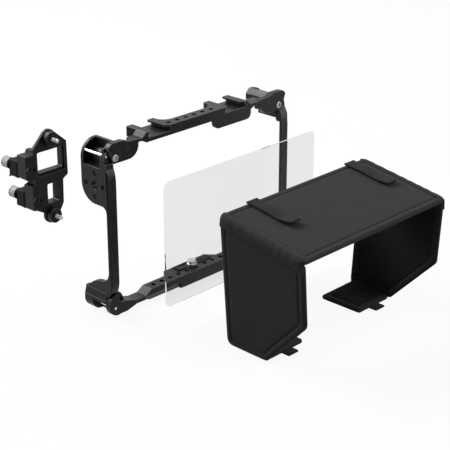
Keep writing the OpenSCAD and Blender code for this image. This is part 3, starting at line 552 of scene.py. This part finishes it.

# The cable clamp: a milled plate with two plug windows, moulded jaws that two knurled steel thumb
# screws draw up against its blocks, and two captive screws that fix it to the cage.
# The clamp's third colour is its broken-edge colour, which is part wear and part a painted
# highlight.
clamp_black = anodised_metal("clamp_anodised", (0.008, 0.008, 0.0085, 1), (0.013, 0.013, 0.014, 1),
                             (0.13, 0.13, 0.135, 1), 0.36, 0.18)
machined("clamp_plate", 0.00025, clamp_black)
jaw_nylon = moulded("jaw_nylon", (0.006, 0.006, 0.006, 1), (0.011, 0.011, 0.011, 1), 0.5, 3400.0,
                    0.00008, 0.08)
knob_steel = bright_metal("knob_steel", (0.17, 0.17, 0.175, 1), (0.26, 0.26, 0.265, 1), 0.58,
                          (2600.0, 5200.0, 2600.0))
finished("jaw_dowels", ground_steel)
for side in ("upper", "lower"):
    machined(side + "_jaw", 0.00018, jaw_nylon)
    machined(side + "_thumb_screw", 0.00010, knob_steel)
head, shank = 0.00225, 0.00105
for side, height in (("upper", 0.104), ("lower", 0.0529)):
    threaded(side + "_mount_screw",
             [(0.0020, 0.0), (0.0021, 0.0), (head, 0.00015), (head, 0.0021), (0.0021, 0.0022),
              (shank, 0.0022), (shank, 0.0082), (shank, 0.0137), (0.0008, 0.0140),
              (0.0004, 0.0140)],
             hexagon(0.002, -0.001, 0.0012), (0.00107, 0.00017, 0.0083, 0.0053, 11.5),
             [(-0.0784, 0.05665, height)], Matrix.Rotation(math.radians(90), 4, "X"),
             stud_steel)

# The screen protector: one clear acrylic sheet with round corners and polished edges. It stands by
# itself in front of the cage. Its refractive index is set low, which keeps reflections faint.
acrylic, tree = emptied(bpy.data.materials.new("clear_acrylic"))
place = add(tree, "TexCoord").outputs["Object"]
haze = add(tree, "TexNoise", None,
           {"Vector": place, "Scale": 45.0, "Detail": 5.0, "Roughness": 0.6})
hair = add(tree, "Mapping", None,
           {"Vector": place, "Scale": (900.0, 900.0, 30.0), "Rotation": (0.0, 0.5, 0.0)})
wiped = add(tree, "TexNoise", None, {"Vector": hair.outputs[0], "Scale": 1.0, "Detail": 2.0})
bump = add(tree, "Bump", None,
           {"Height": wiped.outputs["Fac"], "Strength": 0.02, "Distance": 0.00002})
tint = mixed(tree, haze.outputs["Fac"], (0.785, 0.788, 0.79, 1), (0.81, 0.812, 0.815, 1))
shade = add(tree, "BsdfPrincipled", None,
            {"Base Color": tint, "Roughness": spread(tree, haze.outputs["Fac"], 0.01, 0.05),
             "IOR": 1.1, "Transmission Weight": 1.0, "Normal": bump.outputs[0]})
add(tree, "OutputMaterial", None, {"Surface": shade.outputs[0]})
machined("screen_protector", 0.00015, acrylic)

# The sun hood's panels: nylon cloth sewn round stiff boards, with a dark lining inside and a
# topstitched hem all round. The boards keep them flat, and the cloth puckers along the stitching.
# The hood's sizes are in millimetres.
mm, map_per_mm = 0.001, 0.01
hood_mid, hood_rear, hood_top_z = 3.0, -80.4, 86.0
hood_half, hood_depth, hood_fall = 66.0, 64.0, 10.3
slope = math.atan(hood_fall / hood_depth)
lean = math.radians(4.5)
top_run = hood_depth / math.cos(slope)
thick_panel = 3.0
half_panel = thick_panel / 2
side_at = hood_half - thick_panel


def on_hood(x, forward, up):
    """From the hood's axes to the scene's: across, forward along the sloping top, out of it."""
    return (hood_mid + x, hood_rear - forward * math.cos(slope) - up * math.sin(slope),
            hood_top_z - forward * math.sin(slope) + up * math.cos(slope))


def on_top(a, b, n):
    return on_hood(a, b, n - half_panel)


def on_side(side):
    def spot(a, b, n):
        out = n + half_panel
        return on_hood(side * (side_at + out * math.cos(lean) - b * math.sin(lean)), a,
                       -thick_panel - out * math.sin(lean) - b * math.cos(lean))
    return spot


def on_flap(side):
    return lambda a, b, n: (hood_mid + side * a, b, half_panel - n)


def side_point(forward, down):
    return (forward * math.cos(slope) + down * math.sin(slope),
            (down * math.cos(slope) - forward * math.sin(slope)) / math.cos(lean))


def loop(outline, rounds, inset, counts, arc=7):
    """Points round an outline that is moved inwards, with round corners."""
    n = len(outline)
    points = [np.array(p, float) for p in outline]
    turn = 1 if sum(points[i][0] * points[(i + 1) % n][1] - points[(i + 1) % n][0] * points[i][1]
                    for i in range(n)) > 0 else -1
    sides = [points[(i + 1) % n] - points[i] for i in range(n)]
    along = [side / np.linalg.norm(side) for side in sides]
    inward = [turn * np.array((-d[1], d[0])) for d in along]
    legs = []
    for i in range(n):
        before, after = inward[i - 1], inward[i]
        spot = points[i] + inset * (before + after) / (1 + before @ after)
        half = math.acos(max(-1.0, min(1.0, float(along[i - 1] @ along[i])))) / 2
        radius = max(rounds[i] - inset, 0.3)
        reach = radius * math.tan(half)
        first = spot - along[i - 1] * reach
        middle = first + before * radius
        start = first - middle
        sweep = []
        for k in range(arc):
            angle = turn * 2 * half * k / (arc - 1)
            c, s = math.cos(angle), math.sin(angle)
            sweep.append(middle + np.array((start[0] * c - start[1] * s,
                                            start[0] * s + start[1] * c)))
        legs.append(sweep)
    ring = []
    for i in range(n):
        ring += legs[i]
        first, last = legs[i][-1], legs[(i + 1) % n][0]
        ring += [first + (last - first) * (k + 1) / (counts[i] + 1) for k in range(counts[i])]
    return ring


def ripple(a, b, seed):
    """Slow unevenness of stretched cloth, between about -1 and 1."""
    total = 0.0
    for k, (length, angle) in enumerate(((31.0, 0.4), (23.0, 1.9), (17.0, 2.8), (41.0, 1.1))):
        angle += 0.7 * seed
        across = a * math.cos(angle) + b * math.sin(angle)
        total += math.sin(2 * math.pi * across / length + 1.7 * k + 2.3 * seed)
    return total / 4


def ease(x, low, high):
    t = max(0.0, min(1.0, (x - low) / (high - low)))
    return t * t * (3 - 2 * t)


hem = 4.3
hem_loops = [0.0, 0.12, 0.4, 0.8, 1.25, 1.7, 2.4, 3.0, 3.5, 3.9, 4.3, 4.7, 5.1, 5.6, 6.4, 7.6]


def round_edge(d, half):
    """Height of a rounded edge at distance d in from it, up to half the thickness."""
    return math.sqrt(max(0.0, half ** 2 - (half - min(d, half)) ** 2))


def cover_face(d, a, b, turn, seed):
    """Height of the outer cloth over the panel's middle plane at distance d from its edge."""
    puff, wave = 0.10, 0.16
    groove, groove_width = 0.55, 0.55
    pucker, pucker_pitch, pucker_width = 0.09, 5.6, 1.9
    height = round_edge(d, half_panel)
    height += puff * math.sin(math.pi * max(0.0, min(1.0, (d - 0.6) / 3.4)))
    height -= groove * math.exp(-((d - hem) / groove_width) ** 2)
    height += puff * ease(d, hem, 7.0)
    gather = math.sin(turn / pucker_pitch * 2 * math.pi + 2 * math.sin(turn / 23.0))
    height += pucker * gather * math.exp(-((d - hem - 0.6) / pucker_width) ** 2)
    return height + wave * ripple(a, b, seed) * ease(d, hem, 13.0)


def lining_face(d, a, b, turn, seed):
    """Height of the lining, which lies lower than the cover inside its seam."""
    groove, groove_width, drop, wave = 0.40, 0.5, 0.25, 0.10
    height = round_edge(d, half_panel)
    height -= groove * math.exp(-((d - hem) / groove_width) ** 2) + drop * ease(d, hem, 6.0)
    return height + wave * ripple(a, b, seed + 3) * ease(d, hem, 12.0)


def cloth_piece(name, work, sheet_uv, flat, cloths):
    """A smooth piece from the faces of a cloth, mapped by where each point lies when it is flat."""
    bmesh.ops.recalc_face_normals(work, faces=work.faces)
    for part in work.faces:
        part.smooth = True
        for corner in part.loops:
            corner[sheet_uv].uv = flat[corner.vert]
    mesh = mesh_from(work, name)
    for cloth in cloths:
        mesh.materials.append(cloth)
    return put_in_scene(name, mesh)


def sewn_panel(name, outline, rounds, spot, outer, inner, seed, cloths, seam_at, step=1.5, rows=14,
               skirt=hem_loops):
    """A closed panel of cloth, built in loops from its edge inwards, and its outer seam line."""
    n, well_inside, seam_rise = len(outline), 20.0, 0.08
    counts = [max(2, int(math.dist(outline[i], outline[(i + 1) % n]) / step)) for i in range(n)]
    loops = [(d, loop(outline, rounds, d, counts)) for d in skirt]
    last_d, last = loops[-1]
    middle = sum(last) / len(last)
    for k in range(1, rows):
        share = k / rows
        loops.append((last_d + share * well_inside, [p + (middle - p) * share for p in last]))
    edge = loops[0][1]
    run = [0.0]
    for p, q in zip(edge, edge[1:]):
        run.append(run[-1] + float(np.linalg.norm(q - p)))
    work = bmesh.new()
    sheet_uv = work.loops.layers.uv.new("cloth")
    flat = {}
    rim = None
    for face, height in ((1, outer), (-1, inner)):
        made = []
        for row, (d, points) in enumerate(loops):
            if row == 0 and rim:
                made.append(rim)
                continue
            ring = []
            for j, p in enumerate(points):
                level = height(d, p[0], p[1], run[j], seed)
                v = work.verts.new([x * mm for x in spot(p[0], p[1], face * level)])
                flat[v] = (p[0] * map_per_mm, p[1] * map_per_mm)
                ring.append(v)
            made.append(ring)
            rim = rim or ring
        level = height(last_d + well_inside, *middle, 0.0, seed)
        tip = work.verts.new([x * mm for x in spot(middle[0], middle[1], face * level)])
        flat[tip] = (middle[0] * map_per_mm, middle[1] * map_per_mm)
        for row, (out, ins) in enumerate(zip(made, made[1:])):
            for j in range(len(out)):
                k = (j + 1) % len(out)
                part = work.faces.new((out[j], out[k], ins[k], ins[j]))
                part.material_index = 1 if face < 0 and loops[row][0] >= seam_at else 0
        for j in range(len(made[-1])):
            part = work.faces.new((made[-1][j], made[-1][(j + 1) % len(made[-1])], tip))
            part.material_index = 1 if face < 0 else 0
    seam = []
    for j, p in enumerate(loop(outline, rounds, seam_at, counts)):
        level = outer(seam_at, p[0], p[1], run[j], seed) + seam_rise
        seam.append([x * mm for x in spot(p[0], p[1], level)])
    return cloth_piece(name, work, sheet_uv, flat, cloths), seam


def rectangle(left, near, right, far):
    return [(left, near), (right, near), (right, far), (left, far)]


weave, given, put = shader_group(
    "weave", [("Place", "Vector", None), ("Threads", "Float", 200.0)],
    [("Height", "Float"), ("Slub", "Float")])
axes = add(weave, "SeparateXYZ", None, {"Vector": given.outputs["Place"]})
waves = []
for axis in ("X", "Y"):
    steps = maths(weave, "MULTIPLY", axes.outputs[axis], given.outputs["Threads"])
    waves.append(maths(weave, "SINE", maths(weave, "MULTIPLY", steps, math.pi)))
over = maths(weave, "MULTIPLY_ADD", maths(weave, "MULTIPLY", *waves), 0.5, 0.5)
slub = add(weave, "TexNoise", None,
           {"Vector": given.outputs["Place"], "Scale": 16.0, "Detail": 6.0, "Roughness": 0.65})
weave.links.new(over, put.inputs["Height"])
weave.links.new(slub.outputs["Fac"], put.inputs["Slub"])


def woven(name, dark, light, threads, rough, sheen, depth):
    made, tree = emptied(bpy.data.materials.new(name))
    place = add(tree, "UVMap", {"uv_map": "cloth"}).outputs[0]
    cloth = placed(tree, weave, {"Place": place, "Threads": threads})
    # Painted shade: the cloth is coloured darker where the weave dips between threads and lighter
    # where the threads cross over.
    painted_weave_shade = mixed(tree, cloth.outputs["Height"], dark, light)
    fleck = spread(tree, cloth.outputs["Slub"], 0.0, 0.5)
    bump = add(tree, "Bump", None,
               {"Height": cloth.outputs["Height"], "Strength": 0.5, "Distance": depth})
    shade = add(tree, "BsdfPrincipled", None,
                {"Base Color": mixed(tree, fleck, painted_weave_shade, light),
                 "Roughness": spread(tree, cloth.outputs["Slub"], rough - 0.06, rough + 0.06),
                 "Specular IOR Level": 0.03, "Sheen Weight": sheen, "Sheen Roughness": 0.45,
                 "Normal": bump.outputs[0]})
    add(tree, "OutputMaterial", None, {"Surface": shade.outputs[0]})
    return made


hood_nylon = woven("hood_nylon", (0.026, 0.026, 0.0275, 1), (0.050, 0.051, 0.0535, 1), 220.0,
                   0.72, 0.03, 0.00010)
hood_lining = woven("hood_lining", (0.015, 0.015, 0.0155, 1), (0.031, 0.031, 0.032, 1), 260.0,
                    0.85, 0.05, 0.00004)
cloths = [hood_nylon, hood_lining]
top_outline = rectangle(-hood_half, 0.0, hood_half, top_run)
top_panel, top_seam = sewn_panel("hood_top", top_outline, [2.5, 2.5, 3.0, 3.0], on_top, cover_face,
                                 lining_face, 0, cloths, hem)
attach(top_panel, "hood")
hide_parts("hood_top_cover", "hood_top_board", "hood_top_lining")
side_front, side_gap = 63.65, 0.35
front_down, floor_down = hood_top_z - thick_panel - 33.7, hood_top_z - thick_panel - 0.4
side_outline = [side_point(0.0, side_gap), side_point(side_front, hood_fall + side_gap),
                side_point(side_front, front_down), side_point(hood_depth / 2, floor_down),
                side_point(0.0, floor_down)]
flap_outline = rectangle(26.75, -112.05, 56.15, -80.75)
seams = {"hood": top_seam}
for number, (hand, side) in enumerate((("left", -1), ("right", 1))):
    panel, seam = sewn_panel(hand + "_panel", side_outline, [1.6, 1.6, 5.0, 4.0, 4.5],
                             on_side(side), cover_face, lining_face, 1 + number, cloths, hem)
    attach(panel, hand + "_panel")
    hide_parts(*[hand + "_panel_" + layer for layer in ("cover", "board", "lining")])
    seams[hand + "_panel"] = seam
    flap, _ = sewn_panel(hand + "_flap", flap_outline, [2.0, 1.5, 1.5, 2.0], on_flap(side),
                         lining_face, cover_face, 4 + number, cloths, hem)
    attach(flap, hand + "_flap")
    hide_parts(*[hand + "_flap_" + layer for layer in ("cover", "board", "lining")])

# The folds: strips of the same nylon that run over the gap between two boards and are sewn into
# the hems on both sides, so the panels swing like a book's cover.


def smooth_path(points, count, fine=12):
    """Evenly spaced points on a smooth curve through the given ones, and the curve's length."""
    p = [np.array(q, float) for q in points]
    p = [2 * p[0] - p[1]] + p + [2 * p[-1] - p[-2]]
    line = []
    for i in range(1, len(p) - 2):
        before, here, after, beyond = p[i - 1:i + 3]
        for k in range(fine):
            t = k / fine
            line.append(0.5 * (2 * here + (after - before) * t
                               + (2 * before - 5 * here + 4 * after - beyond) * t ** 2
                               + (3 * here - before - 3 * after + beyond) * t ** 3))
    line.append(p[-2])
    gone = np.concatenate([[0], np.cumsum([np.linalg.norm(b - a) for a, b in zip(line, line[1:])])])
    want = np.linspace(0, gone[-1], count)
    even = [np.interp(want, gone, [q[k] for q in line]) for k in range(2)]
    return np.stack(even, axis=1), float(gone[-1])


def fold_strip(name, path, spot, length, thick, cloth, across=26, rows=56):
    """A thin strip of cloth that follows a path across a fold and is tucked in at its two ends."""
    pucker_depth, tuck_depth, tuck_run = 0.12, 1.3, 3.0
    line, width = smooth_path(path, across)
    way = np.gradient(line, axis=0)
    way /= np.linalg.norm(way, axis=1)[:, None]
    side_way = np.stack([-way[:, 1], way[:, 0]], axis=1)
    work = bmesh.new()
    sheet_uv = work.loops.layers.uv.new("cloth")
    flat, layers = {}, []
    for face in (0.5, -0.5):
        grid = []
        for r in range(rows + 1):
            t = r / rows
            row = []
            for c in range(across):
                middle = math.sin(math.pi * c / (across - 1))
                wave = math.sin(2 * math.pi * t * length / 7.3 + 1.5 * math.sin(9.0 * t))
                pucker = pucker_depth * middle * wave
                tuck = tuck_depth * middle * (1 - ease(min(t, 1 - t) * length, 0.0, tuck_run))
                p = line[c] + side_way[c] * (face * thick + pucker - tuck)
                v = work.verts.new([x * mm for x in spot(p[0], p[1], t)])
                flat[v] = (width * c / (across - 1) * map_per_mm, t * length * map_per_mm)
                row.append(v)
            grid.append(row)
        layers.append(grid)
    top, low = layers
    for grid in layers:
        for r in range(rows):
            for c in range(across - 1):
                work.faces.new((grid[r][c], grid[r][c + 1], grid[r + 1][c + 1], grid[r + 1][c]))
    for r in range(rows):
        for c in (0, across - 1):
            work.faces.new((top[r][c], top[r + 1][c], low[r + 1][c], low[r][c]))
    for c in range(across - 1):
        for r in (0, rows):
            work.faces.new((top[r][c], top[r][c + 1], low[r][c + 1], low[r][c]))
    piece = cloth_piece(name, work, sheet_uv, flat, [cloth])
    piece.data.set_sharp_from_angle(angle=math.radians(60))
    return piece, width


fold_start, fold_short, fold_lean = 0.25, 0.6, 0.16
flap_fold_front, flap_fold_run = -110.8, 29.4
for hand, side in (("left", -1), ("right", 1)):
    def over_fold(x, z, t, side=side):
        forward = fold_start + t * (top_run - fold_short) + fold_lean * max(0.0, -thick_panel - z)
        return on_hood(side * x, forward, z)

    strip, width = fold_strip(hand + "_top_fold",
                              [(61.6, -0.25), (62.6, 0.30), (64.0, 0.34), (65.4, -0.30),
                               (66.35, -1.7), (66.55, -3.6), (66.35, -5.6), (66.05, -6.9),
                               (65.45, -7.7)],
                              over_fold, top_run, 0.4, hood_nylon)
    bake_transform(strip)

    def under_fold(x, z, t, side=side):
        return (hood_mid + side * x, flap_fold_front + t * flap_fold_run, z)

    strip, width = fold_strip(hand + "_flap_fold",
                              [(50.9, 3.05), (53.2, 3.25), (54.9, 3.5), (55.9, 4.2), (56.4, 5.4),
                               (56.55, 6.8), (56.75, 8.6)],
                              under_fold, flap_fold_run, 0.35, hood_lining, across=22, rows=26)
    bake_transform(strip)

# Straps and pull tabs: hook-and-loop tape sewn to the hood's rear edge, its free end a little
# lifted, and short loops of the same tape sewn into the flaps' front hems.
hook_tape = woven("hook_tape", (0.010, 0.010, 0.0105, 1), (0.027, 0.027, 0.0285, 1), 150.0,
                  0.9, 0.12, 0.00022)
tape_half, tape_seam = 0.62, 1.3


def tape_face(d, a, b, turn, seed):
    groove, groove_width, wave = 0.10, 0.3, 0.03
    height = round_edge(d, tape_half)
    height -= groove * math.exp(-((d - tape_seam) / groove_width) ** 2)
    return height + wave * ripple(3 * a, 3 * b, seed)


tapes = [hook_tape, hook_tape]
tape_loops = [0.0, 0.08, 0.25, 0.45, 0.7, 1.0, 1.3, 1.6, 2.0, 2.6]
tape_gap, tape_bow = 0.18, 0.35
for hand, x, lift in (("left", -39.4, 2.3), ("right", 50.4, 1.3)):
    def on_tape(a, b, n, x=x, lift=lift):
        rise = tape_gap + tape_bow * math.sin(math.pi * min(1.0, b / 24.0)) ** 2
        rise += lift * ease(b, 20.0, 36.0) ** 1.4
        return on_hood(x + a, b, rise + tape_half + n)

    tape, seam = sewn_panel(hand + "_strap_tape", rectangle(-4.7, -0.2, 4.7, 34.8),
                            [0.5, 0.5, 1.5, 1.5], on_tape, tape_face, tape_face, 7, tapes,
                            tape_seam, step=1.2, rows=6, skirt=tape_loops)
    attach(tape, hand + "_strap")
    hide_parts(hand + "_strap")
    seams[hand + "_strap"] = seam
tab_mid, tab_up = 41.45, 0.82
for hand, side in (("left", -1), ("right", 1)):
    def on_tab(a, b, n, side=side):
        return (hood_mid + side * (tab_mid + a), b, tab_up + n)

    tab, _ = sewn_panel(hand + "_pull_tab", rectangle(-4.5, -117.5, 4.5, -110.4),
                        [1.0, 1.0, 0.5, 0.5], on_tab, tape_face, tape_face, 8, tapes,
                        tape_seam, step=1.0, rows=4, skirt=tape_loops)
    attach(tab, hand + "_flap")
    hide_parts(hand + "_flap_tab")

# The topstitching: rows of polyester thread along the hems, one stitch at a time, sunk in the
# groove that they pull into the cloth.
thread = moulded("sewing_thread", (0.022, 0.022, 0.023, 1), (0.050, 0.050, 0.052, 1), 0.6, 9000.0,
                 0.00005, 0.2)
stitching = bpy.data.node_groups.new("stitch_row", "GeometryNodeTree")
stitching.interface.new_socket("Geometry", in_out="INPUT", socket_type="NodeSocketGeometry")
stitch_inputs = named_inputs(stitching, (("Pitch", "Float"), ("Length", "Float"),
                                         ("Thickness", "Float"), ("Finish", "Material")))
stitching.interface.new_socket("Geometry", in_out="OUTPUT", socket_type="NodeSocketGeometry")
given = stitching.nodes.new("NodeGroupInput")
line = geo(stitching, "GeometryNodeMeshToCurve", None, {"Mesh": given.outputs["Geometry"]})
marks = geo(stitching, "GeometryNodeResampleCurve", {"mode": "LENGTH"},
            {"Curve": line.outputs[0], "Length": given.outputs["Pitch"]})
bead = geo(stitching, "GeometryNodeMeshUVSphere", None, {"Segments": 6, "Rings": 5, "Radius": 0.5})
form = geo(stitching, "ShaderNodeCombineXYZ", None,
           {0: given.outputs["Length"], 1: given.outputs["Thickness"],
            2: given.outputs["Thickness"]})
run_of = geo(stitching, "GeometryNodeInputTangent")
lay = geo(stitching, "FunctionNodeAlignRotationToVector", {"axis": "X"},
          {"Vector": run_of.outputs[0]})
sewn = geo(stitching, "GeometryNodeInstanceOnPoints", None,
           {"Points": marks.outputs[0], "Instance": bead.outputs[0], "Rotation": lay.outputs[0],
            "Scale": form.outputs[0]})
real = geo(stitching, "GeometryNodeRealizeInstances", None, {"Geometry": sewn.outputs[0]})
dressed = geo(stitching, "GeometryNodeSetMaterial", None,
              {"Geometry": real.outputs[0], "Material": given.outputs["Finish"]})
stitching.links.new(dressed.outputs[0], stitching.nodes.new("NodeGroupOutput").inputs["Geometry"])
pitch, stitch, thickness = 0.0027, 0.0021, 0.00034
for body, seam in seams.items():
    guide = bpy.data.meshes.new(body + "_guide")
    guide.from_pydata(seam, [(i, (i + 1) % len(seam)) for i in range(len(seam))], [])
    made = grown(body + "_stitches", guide, stitching,
                 {stitch_inputs["Pitch"]: pitch, stitch_inputs["Length"]: stitch,
                  stitch_inputs["Thickness"]: thickness, stitch_inputs["Finish"]: thread})
    made.shade_smooth()
    row = put_in_scene(body + "_stitches", made)
    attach(row, body)
